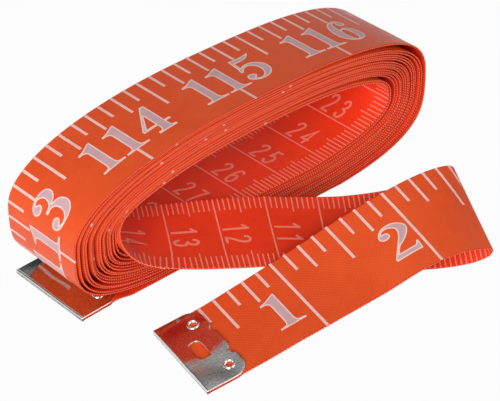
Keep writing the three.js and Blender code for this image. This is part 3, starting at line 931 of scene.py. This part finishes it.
# %% Centimetre lines and millimetre marks
CM_STROKE, MM_STROKE = 0.31, 0.26
MM_MARK, FIVE_MARK = 3.4, 4.4
LAST_CM = 33


def centimetre_marks(name, first_mm, last_mm):
    """Lines and marks of the centimetre side between two readings."""
    reading = np.arange(first_mm, last_mm + 1)
    whole = reading[reading % 10 == 0]
    part = reading[reading % 10 != 0]
    inner = PRINT_EDGE - np.where(part % 5 == 0, FIVE_MARK, MM_MARK)
    outer = np.full(len(part), PRINT_EDGE)
    marks = bars(name + "_mm", place_of(np.r_[part, part], CM_AHEAD),
                 np.r_[outer, -outer], np.r_[inner, -inner], MM_STROKE, -1, 3)
    lines = bars(name + "_cm", place_of(whole, CM_AHEAD), PRINT_EDGE, -PRINT_EDGE,
                 CM_STROKE, -1, 12)
    return marks, lines


fold_mm = int(FOLD_TOP_S + CM_AHEAD)
lead_scale = centimetre_marks("lead", 15, fold_mm)
coil_scale = centimetre_marks("feed", fold_mm + 1, LAST_CM * 10)
print("millimetre marks:", len(lead_scale[0].data.polygons), len(coil_scale[0].data.polygons))

# %% [markdown]
# The centimetre digits are lists of the same kind of points, but a path here is the middle of
# a pen stroke, and every stroke becomes a thin bar of its own.

# %% Strokes of the centimetre numbers
STROKES = {
    "0": [[(1.05, 4.8, S), (1.7, 4.2, S), (1.85, 2.55, S), (1.7, 0.9, S), (1.05, 0.3, S),
           (0.4, 0.9, S), (0.25, 2.55, S), (0.4, 4.2, S), (1.05, 4.8, S)]],
    "1": [[(1.4, 0, C), (1.4, 5.1, C)], [(0.35, 3.85, C), (0.8, 4.2, S), (1.35, 4.85, C)]],
    "2": [[(0.25, 3.75, C), (0.4, 4.5, S), (1.05, 4.85, S), (1.65, 4.5, S), (1.75, 3.7, S),
           (1.4, 2.6, S), (0.8, 1.5, S), (0.35, 0.3, C), (1.95, 0.3, C)]],
    "3": [[(0.3, 3.8, C), (0.5, 4.55, S), (1.1, 4.82, S), (1.65, 4.3, S), (1.6, 3.3, S),
           (0.95, 2.75, C), (1.7, 2.3, S), (1.85, 1.4, S), (1.55, 0.5, S), (1.05, 0.27, S),
           (0.5, 0.5, S), (0.25, 1.3, C)]],
    "4": [[(1.5, 0, C), (1.5, 4.9, C), (0.25, 1.5, C), (2.1, 1.5, C)]],
    "5": [[(1.85, 4.85, C), (0.55, 4.85, C), (0.45, 2.8, C), (1.15, 3.1, S), (1.75, 2.6, S),
           (1.85, 1.5, S), (1.5, 0.5, S), (1.0, 0.27, S), (0.5, 0.45, S), (0.22, 1.2, C)]],
    "6": [[(1.75, 4.1, C), (1.5, 4.65, S), (1.05, 4.85, S), (0.55, 4.5, S), (0.28, 3.2, S),
           (0.28, 1.7, S), (0.5, 0.6, S), (1.05, 0.27, S), (1.6, 0.6, S), (1.82, 1.6, S),
           (1.6, 2.6, S), (1.1, 2.95, S), (0.35, 2.3, C)]],
    "7": [[(0.25, 4.8, C), (1.9, 4.8, C), (1.45, 3.2, S), (1.15, 1.6, S), (1.0, 0, C)]],
    "8": [[(1.05, 4.85, S), (1.6, 4.4, S), (1.65, 3.5, S), (1.05, 2.75, S), (0.4, 1.9, S),
           (0.35, 0.9, S), (1.05, 0.27, S), (1.75, 0.9, S), (1.7, 1.9, S), (1.05, 2.75, S),
           (0.45, 3.5, S), (0.5, 4.4, S), (1.05, 4.85, S)]],
}
CM_DIGIT_WIDTH, CM_DIGIT_HEIGHT, CM_DIGIT_STEP = 2.1, 5.1, 3.45
STROKES["9"] = half_turned(STROKES["6"], CM_DIGIT_WIDTH, CM_DIGIT_HEIGHT)
CM_NUMBER_GAP, CM_NUMBER_CENTRE = 0.6, -0.4
PEN_WIDTH, PEN_SPAN, PEN_OVER = 0.52, 5, 0.002
SAME_POINT, LEAST_COSINE = 1e-3, 0.45


def stroke(path):
    """Left and right side of a pen stroke: the path, moved half the stroke's width along its
    own normal. At a corner the normal is that of the mean direction, made longer by one over
    the cosine of half the turn, so that the stroke keeps its width."""
    points = smooth_loop(path, PEN_SPAN)
    closing = 1 if path[-1][2] and path[0][2] else PEN_SPAN
    points = np.vstack([points[:len(points) - closing + 1], path[-1][:2]])
    apart = np.linalg.norm(np.diff(points, axis=0), axis=1) > SAME_POINT
    points = points[np.r_[True, apart]]
    step = np.diff(points, axis=0)
    step /= np.linalg.norm(step, axis=1)[:, None]
    before, after = np.vstack([step[:1], step]), np.vstack([step, step[-1:]])
    mean = before + after
    mean /= np.linalg.norm(mean, axis=1)[:, None]
    normal = np.stack([-mean[:, 1], mean[:, 0]], axis=1)
    normal /= np.clip((mean * after).sum(axis=1), LEAST_COSINE, 1)[:, None]
    half = normal * PEN_WIDTH / 2
    return points + half, points - half


def centimetre_number(name, centimetre):
    """The strokes of one number, as thin bands of a rectangular section. Digit x runs from
    the far edge to the near one and digit y towards the ribbon's tip."""
    text = str(centimetre)
    span = CM_DIGIT_STEP * (len(text) - 1) + CM_DIGIT_WIDTH
    foot = place_of(10 * centimetre, CM_AHEAD) - CM_NUMBER_GAP
    places, faces = [], []
    for k, digit in enumerate(text):
        for rank, path in enumerate(STROKES[digit]):
            left, right = stroke(path)
            ring = np.stack([left, right, right, left], axis=1)
            top = INK_ABOVE + PEN_OVER * (1 + rank)
            depth = THICK / 2 + np.array([-INK_BELOW, -INK_BELOW, top, top])
            s = foot - ring[..., 1]
            v = CM_NUMBER_CENTRE + span / 2 - CM_DIGIT_STEP * k - ring[..., 0]
            faces.append(beam_faces(1, len(ring)) + sum(len(part) for part in places))
            places.append(np.stack([s, v, -depth + 0 * s], axis=-1).reshape(-1, 3))
    s, v, h = np.vstack(places).T
    return printed(mesh_of(name, on_tape(s, v, h), np.vstack(faces).tolist()), s, v)


cm_numbers = {n: centimetre_number(f"cm_{n}", n) for n in range(2, LAST_CM + 1)}
print("centimetre numbers:", len(cm_numbers))

# %% [markdown]
# Some of the long inch lines run on over the cut edge of the ribbon. They show as pale dots
# between the wound turns, in the coil's upper left half. A remainder picks out which lines do,
# at uneven steps.

# %% Dots where lines meet the edge
DOT_V = WIDTH / 2 + np.array([-0.3, 0.03])
DOT_LOW, DOT_HIGH = -0.06, THICK / 2 + 0.015
DOT_H = np.array([DOT_LOW, DOT_LOW, DOT_HIGH, DOT_HIGH])
DOTS_LEFT_OF = 8.0


def edge_dots(name, inches):
    """Short solids over both cut edges: v from inside the edge to just outside it, h from
    below the ribbon's middle to just above its inch side."""
    s = place_of(inches * INCH_MM)[:, None, None] + BAR_S * INCH_STROKE / 2
    points = []
    for side in (-1, 1):
        v = side * DOT_V[None, :, None]
        points.append(on_tape(s + 0 * v, v, DOT_H))
    points = np.concatenate(points)
    mesh = mesh_of(name, points, beam_faces(len(points), 2).tolist())
    return printed(mesh, 0 * points[..., 0], 0 * points[..., 0])


dot_inches = np.arange(7, 119)
dot_x, _, dot_z = on_tape(place_of(dot_inches * INCH_MM), 0, 0).T
some = dot_inches * 5 % 11 < 5
dot_inches = dot_inches[(dot_z > UNDER_EYE) & (dot_x < DOTS_LEFT_OF) & some]
coil_dots = edge_dots("edge_dots", dot_inches)
print("dots:", 2 * len(dot_inches))

# %% [markdown]
# ## Materials
#
# The ribbon is woven cloth under a soft coating, the print is ink in that coating, and the
# clips are plated steel. Two effects are used by more than one of them, so they are node
# groups: the weave that shows through, and the uneven tone of a used surface.

# %% Node helpers and the two groups
def socket_list(tree, inputs, outputs):
    """Gives a node group its inputs, each with a starting value or None, and its outputs."""
    for name, kind, value in inputs:
        made = tree.interface.new_socket(name, in_out="INPUT", socket_type="NodeSocket" + kind)
        if value is not None:
            made.default_value = value
    for name, kind in outputs:
        tree.interface.new_socket(name, in_out="OUTPUT", socket_type="NodeSocket" + kind)


def wire(tree, source, target):
    """Links another node's output to an input, or sets the input to a number or a colour."""
    if isinstance(source, bpy.types.NodeSocket):
        tree.links.new(source, target)
    else:
        target.default_value = (*source, 1) if target.type == "RGBA" else source


def calc(tree, operation, *values):
    """A Math node, whose inputs are numbers or other nodes' outputs."""
    node = tree.nodes.new("ShaderNodeMath")
    node.operation = operation
    for value, slot in zip(values, node.inputs):
        wire(tree, value, slot)
    return node.outputs[0]


def split(tree, vector):
    """The X, Y and Z outputs of a vector."""
    node = tree.nodes.new("ShaderNodeSeparateXYZ")
    wire(tree, vector, node.inputs[0])
    return node.outputs


def noise(tree, vector, scale, detail):
    """Blender's noise in space, around 0.5."""
    node = tree.nodes.new("ShaderNodeTexNoise")
    node.inputs["Detail"].default_value = detail
    wire(tree, vector, node.inputs["Vector"])
    wire(tree, scale, node.inputs["Scale"])
    return node.outputs["Fac"]


def ranged(tree, value, low, high, start=0.0, end=1.0):
    """Straight line that is low at start and high at end, and level beyond both."""
    node = tree.nodes.new("ShaderNodeMapRange")
    for name, limit in (("From Min", start), ("From Max", end), ("To Min", low), ("To Max", high)):
        node.inputs[name].default_value = limit
    wire(tree, value, node.inputs["Value"])
    return node.outputs[0]


def weave_group():
    """Plain weave: sin(pi * x / pitch) * sin(pi * y / pitch), which is up in every second
    square of the cloth and down in the others."""
    tree = bpy.data.node_groups.new("weave", "ShaderNodeTree")
    socket_list(tree, [("Vector", "Vector", None), ("Pitch", "Float", 0.4)], [("Height", "Float")])
    enter, leave = tree.nodes.new("NodeGroupInput"), tree.nodes.new("NodeGroupOutput")
    parts = split(tree, enter.outputs["Vector"])
    waves = []
    for axis in "XY":
        turns = calc(tree, "DIVIDE", parts[axis], enter.outputs["Pitch"])
        waves.append(calc(tree, "SINE", calc(tree, "MULTIPLY", turns, math.pi)))
    wire(tree, calc(tree, "MULTIPLY", *waves), leave.inputs["Height"])
    return tree


def tone_group():
    """Uneven tone: noise of two sizes, added, stretched to 0...1."""
    tree = bpy.data.node_groups.new("uneven_tone", "ShaderNodeTree")
    socket_list(tree, [("Vector", "Vector", None), ("Scale", "Float", 80.0)], [("Tone", "Float")])
    enter, leave = tree.nodes.new("NodeGroupInput"), tree.nodes.new("NodeGroupOutput")
    parts = []
    for times, share in ((1.0, 0.65), (6.0, 0.35)):
        scale = calc(tree, "MULTIPLY", enter.outputs["Scale"], times)
        patches = noise(tree, enter.outputs["Vector"], scale, 3)
        parts.append(calc(tree, "MULTIPLY", patches, share))
    wire(tree, ranged(tree, calc(tree, "ADD", *parts), 0, 1, 0.35, 0.65), leave.inputs["Tone"])
    return tree


WEAVE, TONE = weave_group(), tone_group()
print("node groups:", WEAVE.name, TONE.name)

# %% [markdown]
# Apart from the first, each helper below adds one node to a material and returns its output,
# so that a material further down reads as a list of what it is made of.

# %% Helpers for materials
def new_material(name):
    """Material with its node tree and its Principled shader."""
    material = bpy.data.materials.new(name)
    material.use_nodes = True
    return material, material.node_tree, material.node_tree.nodes["Principled BSDF"]


def place_group(tree, group, vector, **values):
    """One of the node groups, with its inputs set by name."""
    node = tree.nodes.new("ShaderNodeGroup")
    node.node_tree = group
    wire(tree, vector, node.inputs["Vector"])
    for key, value in values.items():
        node.inputs[key].default_value = value
    return node.outputs[0]


def ribbon_vector(tree):
    """Millimetres along the ribbon and round it."""
    node = tree.nodes.new("ShaderNodeUVMap")
    node.uv_map = "ribbon"
    return node.outputs[0]


def object_vector(tree):
    """Metres in the object's own axes."""
    return tree.nodes.new("ShaderNodeTexCoord").outputs["Object"]


def vertex_value(tree, name):
    """The number that point_values gave every vertex."""
    node = tree.nodes.new("ShaderNodeAttribute")
    node.attribute_name = name
    return node.outputs["Fac"]


def two_tones(tree, share, low, high):
    """Colour between two colours, or two nodes' colours, by a share of 0...1."""
    node = tree.nodes.new("ShaderNodeMix")
    node.data_type = "RGBA"
    wire(tree, share, node.inputs[0])
    slots = [slot for slot in node.inputs if slot.type == "RGBA"]
    for colour, slot in zip((low, high), slots):
        wire(tree, colour, slot)
    return next(slot for slot in node.outputs if slot.type == "RGBA")


def bump(tree, height, distance):
    """Normal of a surface raised by a height times a distance."""
    node = tree.nodes.new("ShaderNodeBump")
    node.inputs["Distance"].default_value = distance
    wire(tree, height, node.inputs["Height"])
    return node.outputs[0]


# %% [markdown]
# The coating has a satin gloss. Its tone changes slightly from place to place, and the
# threads of the cloth raise it a few hundredths of a millimetre.

# %% Coated cloth
WEAVE_PITCH = 0.42
SATIN, WEAVE_HEIGHT = (0.36, 0.46), 0.014


def coated(name, low, high, gloss):
    """Face of the ribbon, between two tones of one colour."""
    material, tree, shader = new_material(name)
    tone = place_group(tree, TONE, object_vector(tree), Scale=70.0)
    weave = place_group(tree, WEAVE, ribbon_vector(tree), Pitch=WEAVE_PITCH)
    wire(tree, two_tones(tree, tone, low, high), shader.inputs["Base Color"])
    wire(tree, ranged(tree, tone, *SATIN), shader.inputs["Roughness"])
    wire(tree, bump(tree, weave, WEAVE_HEIGHT * MM), shader.inputs["Normal"])
    shader.inputs["Specular IOR Level"].default_value = gloss
    shader.inputs["Specular Tint"].default_value = (1, 0.82, 0.5, 1)
    return material


inch_face = coated("inch_face", (0.80, 0.080, 0.016), (0.88, 0.100, 0.022), 0.4)
centimetre_face = coated("centimetre_face", (0.84, 0.044, 0.013), (0.92, 0.058, 0.018), 0.14)
print("coated faces:", inch_face.name, centimetre_face.name)

# %% [markdown]
# The cut edge shows the ends of its threads, a pale one every 0.57 mm. They are bold on the
# coil's lower turns and at its right end, and faint elsewhere. Towards either face the edge is
# also painted darker: painted shade for the grooves where turns touch, which sets them apart.

# %% Cut edge
THREAD_STEP, THREAD_HEIGHT = 0.57, 0.018
FAINT = 0.25
BOLD_BELOW, FAINT_ABOVE = 8 * MM, 15 * MM
FAINT_LEFT_OF, BOLD_RIGHT_OF = 18 * MM, 32 * MM
# painted shade: the last of these colours stands in for the shade in the grooves between turns
THREAD_DARK, THREAD_PALE, PAINTED_GAP_SHADE = (0.66, 0.03, 0.014), (0.97, 0.19, 0.085), (0.42, 0.012, 0.006)

cut_edge, tree, shader = new_material("cut_edge")
threads = calc(tree, "MULTIPLY", split(tree, ribbon_vector(tree))["X"], 2 * math.pi / THREAD_STEP)
wave = ranged(tree, calc(tree, "SINE", threads), -1, 1, -0.7, 0.7)
place = split(tree, object_vector(tree))
bold = calc(tree, "MAXIMUM", ranged(tree, place["Z"], 1, FAINT, BOLD_BELOW, FAINT_ABOVE),
            ranged(tree, place["X"], FAINT, 1, FAINT_LEFT_OF, BOLD_RIGHT_OF))
ends = calc(tree, "MULTIPLY", wave, bold)
tones = two_tones(tree, ranged(tree, ends, 0, 1, -1, 1), THREAD_DARK, THREAD_PALE)
# painted shade: towards either face the edge's colour goes over to the dark groove tone
gap_shade_share = ranged(tree, vertex_value(tree, "towards_rim"), 0, 1, 0.7, 1)
wire(tree, two_tones(tree, gap_shade_share, tones, PAINTED_GAP_SHADE), shader.inputs["Base Color"])
wire(tree, ranged(tree, ends, 0.7, 0.55, -1, 1), shader.inputs["Roughness"])
wire(tree, bump(tree, ends, THREAD_HEIGHT * MM), shader.inputs["Normal"])
shader.inputs["Specular IOR Level"].default_value = 0.15
print("threads to the millimetre:", round(1 / THREAD_STEP, 2))

# %% [markdown]
# The ink is pale and tinted by the orange below it. It takes the weave of the cloth too, only
# flatter.

# %% Inks
RIM_FROM, RIM_TO = 0.18, 0.34
INK_HEIGHT = 0.008


def ink(name, fill, rim=None):
    """Ink of one tone, or of a lighter rim about 0.25 mm wide round a darker fill."""
    material, tree, shader = new_material(name)
    tone = place_group(tree, TONE, object_vector(tree), Scale=160.0)
    weave = place_group(tree, WEAVE, ribbon_vector(tree), Pitch=WEAVE_PITCH)
    colour = two_tones(tree, tone, [0.9 * c for c in fill], [1.06 * c for c in fill])
    if rim:
        inside = ranged(tree, vertex_value(tree, "rim_distance"), 0, 1, RIM_FROM, RIM_TO)
        colour = two_tones(tree, inside, rim, colour)
    wire(tree, colour, shader.inputs["Base Color"])
    wire(tree, ranged(tree, tone, 0.42, 0.55), shader.inputs["Roughness"])
    wire(tree, bump(tree, weave, INK_HEIGHT * MM), shader.inputs["Normal"])
    shader.inputs["Specular IOR Level"].default_value = 0.35
    return material


numeral_ink = ink("numeral_ink", (0.68, 0.42, 0.45), (0.94, 0.70, 0.64))
inch_ink = ink("inch_mark_ink", (0.93, 0.60, 0.55))
centimetre_ink = ink("centimetre_ink", (0.96, 0.26, 0.185))
dot_ink = ink("edge_dot_ink", (0.88, 0.42, 0.32))
print("inks:", [made.name for made in (numeral_ink, inch_ink, centimetre_ink, dot_ink)])

# %% [markdown]
# Plated steel is a mirror with very fine marks, and thin sheet is never quite flat, so long
# low dents bend what it mirrors. The dents are noise, moved to where it has a suitable slope
# at the clips.

# %% Plated steel
STEEL_DULL, STEEL_BRIGHT = (0.64, 0.625, 0.61), (0.93, 0.92, 0.89)
DENT_SHIFT, DENT_HEIGHT, GRAIN_SHARE = (40 * MM, 20 * MM, 0), 0.25, 0.045

steel, tree, shader = new_material("plated_steel")
shader.inputs["Metallic"].default_value = 1.0
marks = place_group(tree, TONE, object_vector(tree), Scale=2400.0)
shift = tree.nodes.new("ShaderNodeMapping")
shift.inputs["Location"].default_value = DENT_SHIFT
wire(tree, object_vector(tree), shift.inputs["Vector"])
dents = noise(tree, shift.outputs[0], 170.0, 0)
grain = calc(tree, "MULTIPLY", noise(tree, object_vector(tree), 3500.0, 1), GRAIN_SHARE)
wire(tree, two_tones(tree, marks, STEEL_DULL, STEEL_BRIGHT), shader.inputs["Base Color"])
wire(tree, ranged(tree, marks, 0.04, 0.1), shader.inputs["Roughness"])
uneven = calc(tree, "ADD", dents, grain)
wire(tree, bump(tree, uneven, DENT_HEIGHT * MM), shader.inputs["Normal"])
print("steel nodes:", len(tree.nodes))

# %% [markdown]
# A ribbon has three materials, one for each face and one for the cut edge. All other pieces
# have a single one.

# %% Give out the materials
for piece in (coil_band, lead_band, tail_band):
    for material in (inch_face, centimetre_face, cut_edge):
        piece.data.materials.append(material)
finishes = {
    numeral_ink: list(numbers.values()),
    inch_ink: [lead_inches, coil_inches, last_turn_inches],
    centimetre_ink: [*lead_scale, *coil_scale, *cm_numbers.values()],
    dot_ink: [coil_dots],
    steel: [start_clip, end_clip, start_near, start_far, end_near, end_far],
}
for material, pieces in finishes.items():
    for piece in pieces:
        piece.data.materials.append(material)
print("materials:", sorted(m.name for m in bpy.data.materials if m.users))

# %% [markdown]
# ## Floor, light and background
#
# The object lies on a plain white table in soft light from its left front. Camera rays, and
# rays that are mirrored or let through, see white. All other rays see a grey table and a
# softer sky, so that the white itself doesn't light the cloth.

# %% White table
TABLE_HALF = 3.0
CORNERS = ((-1, -1), (1, -1), (1, 1), (-1, 1))


def white_when_seen(tree, share, plain, white, output):
    """Mixes by that share from a plain shader to a white one, for camera, mirrored and
    let-through rays only, and wires the mix to the tree's output."""
    path = tree.nodes.new("ShaderNodeLightPath").outputs
    bent = calc(tree, "MAXIMUM", path["Is Glossy Ray"], path["Is Transmission Ray"])
    seen = calc(tree, "MAXIMUM", path["Is Camera Ray"], bent)
    blend = tree.nodes.new("ShaderNodeMixShader")
    sources = (calc(tree, "MULTIPLY", seen, share), plain.outputs[0], white.outputs[0])
    for source, slot in zip(sources, blend.inputs):
        wire(tree, source, slot)
    wire(tree, blend.outputs[0], tree.nodes[output].inputs["Surface"])


floor_mesh = bpy.data.meshes.new("table")
floor_mesh.from_pydata([(TABLE_HALF * x, TABLE_HALF * y, 0) for x, y in CORNERS], [],
                       [(0, 1, 2, 3)])
floor = link("table", floor_mesh)
table_top, tree, shader = new_material("table_top")
shader.inputs["Base Color"].default_value = (0.40, 0.40, 0.40, 1)
shader.inputs["Roughness"].default_value = 0.7
glow = tree.nodes.new("ShaderNodeEmission")
glow.inputs["Color"].default_value = (1, 1, 1, 1)
white_when_seen(tree, 0.97, shader, glow, "Material Output")
floor_mesh.materials.append(table_top)
print("table, m:", tuple(round(side, 1) for side in floor.dimensions))

# %% [markdown]
# Mirrors see a sky that is white near the horizon, dark in a band above that and a little
# dimmed overhead, which gives the clips their greys. Two square lamps give the light and its
# soft shadow.

# %% Sky and lamps
world = bpy.data.worlds.new("studio")
bpy.context.scene.world = world
world.use_nodes = True
tree = world.node_tree
sky = tree.nodes["Background"]
sky.inputs["Color"].default_value = (1, 1, 1, 1)
sky.inputs["Strength"].default_value = 0.16
white = tree.nodes.new("ShaderNodeBackground")
height = split(tree, tree.nodes.new("ShaderNodeTexCoord").outputs["Generated"])["Z"]
mirrored = tree.nodes.new("ShaderNodeLightPath").outputs["Is Glossy Ray"]
dim = calc(tree, "SUBTRACT", ranged(tree, height, 0.0, 0.95, 0.40, 0.56),
           ranged(tree, height, 0.0, 0.75, 0.63, 0.82))
wire(tree, calc(tree, "SUBTRACT", 1.0, calc(tree, "MULTIPLY", dim, mirrored)),
     white.inputs["Strength"])
white_when_seen(tree, 1.0, sky, white, "World Output")
LAMPS_FACE = Vector((0, 0, 0.015))


def softbox(name, place, size, power):
    """Square area lamp that faces the middle of the coil."""
    data = bpy.data.lights.new(name, "AREA")
    data.size, data.energy = size, power
    lamp = in_scene(name, data)
    lamp.location = place
    lamp.rotation_euler = turned_along(LAMPS_FACE - Vector(place))
    return lamp


lamps = [softbox("key", (-1.0, -0.54, 0.46), 0.8, 15.3),
         softbox("fill", (0.3, -1.0, 0.58), 0.9, 4.8)]
bpy.context.scene.view_settings.view_transform = "Standard"
print("lamps, W:", {lamp.name: round(lamp.data.energy, 1) for lamp in lamps})

# %% [markdown]
# ## What moves with what
#
# The coil stands still: its ribbon and print go on the root body. Each clip with its eyelets goes
# on the lead or the tail body. The lead's ribbon and print and the tail's ribbon are only set in
# place; the line of the lead's joint at the top of the fold is worked out, and a bend length of
# 7 mm is set but not used, so nothing here lifts or bends.

# %% Bodies, and the line of the lead's joint
HINGE_AXIS = np.array((0.4643, 0.8515, 0.2436))
BEND_LENGTH, TIPWARD = 7, 2
to_tip = on_tape(FOLD_TOP_S - TIPWARD, 0, 0) - on_tape(FOLD_TOP_S, 0, 0)
to_tip -= HINGE_AXIS * (to_tip @ HINGE_AXIS)
to_tip /= np.linalg.norm(to_tip)

lead_prints = [lead_inches, *lead_scale, numbers[1], numbers[2]]
lead_prints += [cm_numbers[n] for n in range(2, 8)]
other_prints = [*numbers.values(), *cm_numbers.values(), *coil_scale, coil_inches,
                last_turn_inches, coil_dots]
coil_prints = [piece for piece in other_prints if piece not in lead_prints]
for piece in [lead_band, *lead_prints]:
    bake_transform(piece)
for piece in [coil_band, *coil_prints]:
    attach(piece, "root")
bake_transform(tail_band)
for piece in (start_clip, start_near, start_far):
    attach(piece, "lead")
for piece in (end_clip, end_near, end_far):
    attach(piece, "tail")

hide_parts("tape_coil", "tape_feed", "tape_fold")
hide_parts("tape_lead")
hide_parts("tape_tail")
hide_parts("start_clip")
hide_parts("start_near_eyelet")
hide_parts("start_far_eyelet")
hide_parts("end_clip")
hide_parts("end_near_eyelet")
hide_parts("end_far_eyelet")
